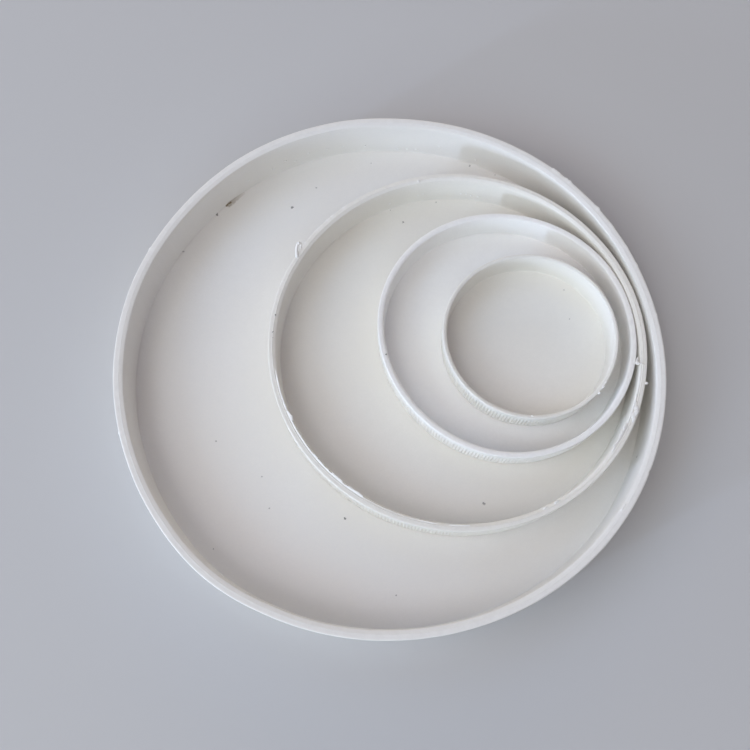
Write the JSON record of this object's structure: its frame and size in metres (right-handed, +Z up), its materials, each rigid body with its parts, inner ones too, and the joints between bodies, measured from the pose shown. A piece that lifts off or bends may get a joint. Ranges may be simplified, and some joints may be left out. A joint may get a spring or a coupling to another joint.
{
  "type": "nested pipe end cap set",
  "caption": "Nested set of shallow round moulded plastic blanking caps for pipe ends, flat floors with short ribbed rims, open side up, lying inside one another.",
  "frame": {"origin": "centre of the largest cap's underside, on the surface that it stands on", "axes": "+Z up, out of the open side; +X towards the side that the smaller caps are pushed to; +Y to the back"},
  "size_m": [0.1666, 0.1666, 0.0196],
  "materials": {
    "plastic_160": "satin moulded, neutral off-white",
    "plastic_110": "satin moulded, creamy off-white",
    "plastic_75": "satin moulded, cool white",
    "plastic_50": "satin moulded, warm off-white"
  },
  "bodies": {
    "cap_160": {"cap_160": "plastic_160"},
    "cap_110": {"cap_110": "plastic_110"},
    "cap_75": {"cap_75": "plastic_75"},
    "cap_50": {"cap_50": "plastic_50"}
  },
  "joints": [
    {"name": "cap_110_lift", "type": "slide", "parent": "cap_160", "child": "cap_110", "axis": [0, 0, 1], "range_m": [0, 0.04]},
    {"name": "cap_75_lift", "type": "slide", "parent": "cap_110", "child": "cap_75", "axis": [0, 0, 1], "range_m": [0, 0.04]},
    {"name": "cap_50_lift", "type": "slide", "parent": "cap_75", "child": "cap_50", "axis": [0, 0, 1], "range_m": [0, 0.04]}
  ]
}
